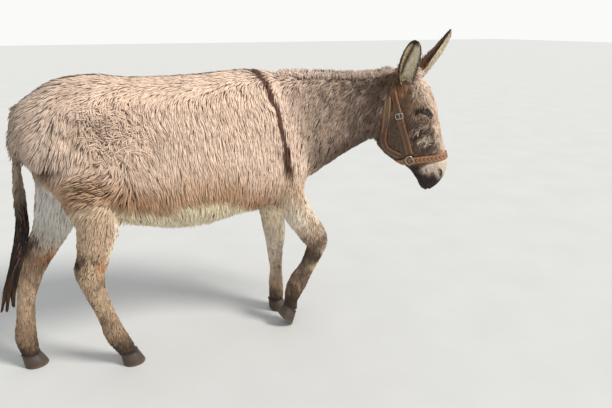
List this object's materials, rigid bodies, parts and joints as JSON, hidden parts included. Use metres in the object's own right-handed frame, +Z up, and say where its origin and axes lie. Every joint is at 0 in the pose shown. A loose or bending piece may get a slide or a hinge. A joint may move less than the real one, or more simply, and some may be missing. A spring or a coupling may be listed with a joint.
{
  "type": "donkey",
  "caption": "Life-size shaggy donkey in a walking stance, head low and turned to its right, wearing a leather headcollar.",
  "frame": {"origin": "middle of the whole animal's footprint, on the floor", "axes": "+X from rump to chest, +Y to the animal's left, +Z up"},
  "size_m": [1.7772, 0.6302, 1.3155],
  "materials": {
    "coat_fawn": "long dull winter hair",
    "coat_grey": "dull grey-fawn hair",
    "coat_dark": "dull dark brown hair",
    "tail_hair": "coarse black hair",
    "hoof_horn": "dull dark horn",
    "eye": "wet dark brown",
    "leather": "worn brown leather",
    "steel": "worn steel"
  },
  "bodies": {
    "root": {"trunk": "coat_fawn", "neck": "coat_grey", "mane": "coat_dark", "head": "coat_grey", "ear_right": "coat_dark", "ear_left": "coat_dark", "eye_right": "eye", "eye_left": "eye", "tail_dock": "coat_fawn", "tail_switch": "tail_hair", "leg_fore_left_upper": "coat_grey", "leg_fore_left_lower": "coat_dark", "leg_fore_left_hoof": "hoof_horn", "leg_fore_right_upper": "coat_grey", "leg_fore_right_lower": "coat_dark", "leg_fore_right_hoof": "hoof_horn", "leg_hind_left_upper": "coat_fawn", "leg_hind_left_lower": "coat_dark", "leg_hind_left_hoof": "hoof_horn", "leg_hind_right_upper": "coat_fawn", "leg_hind_right_lower": "coat_dark", "leg_hind_right_hoof": "hoof_horn", "halter_noseband": "leather", "halter_crown": "leather", "halter_cheek_right": "leather", "halter_throat_right": "leather", "halter_cheek_left": "leather", "halter_throat_left": "leather", "halter_ring_right": "steel", "halter_buckle_right": "steel", "halter_ring_left": "steel", "halter_buckle_left": "steel"}
  },
  "joints": []
}
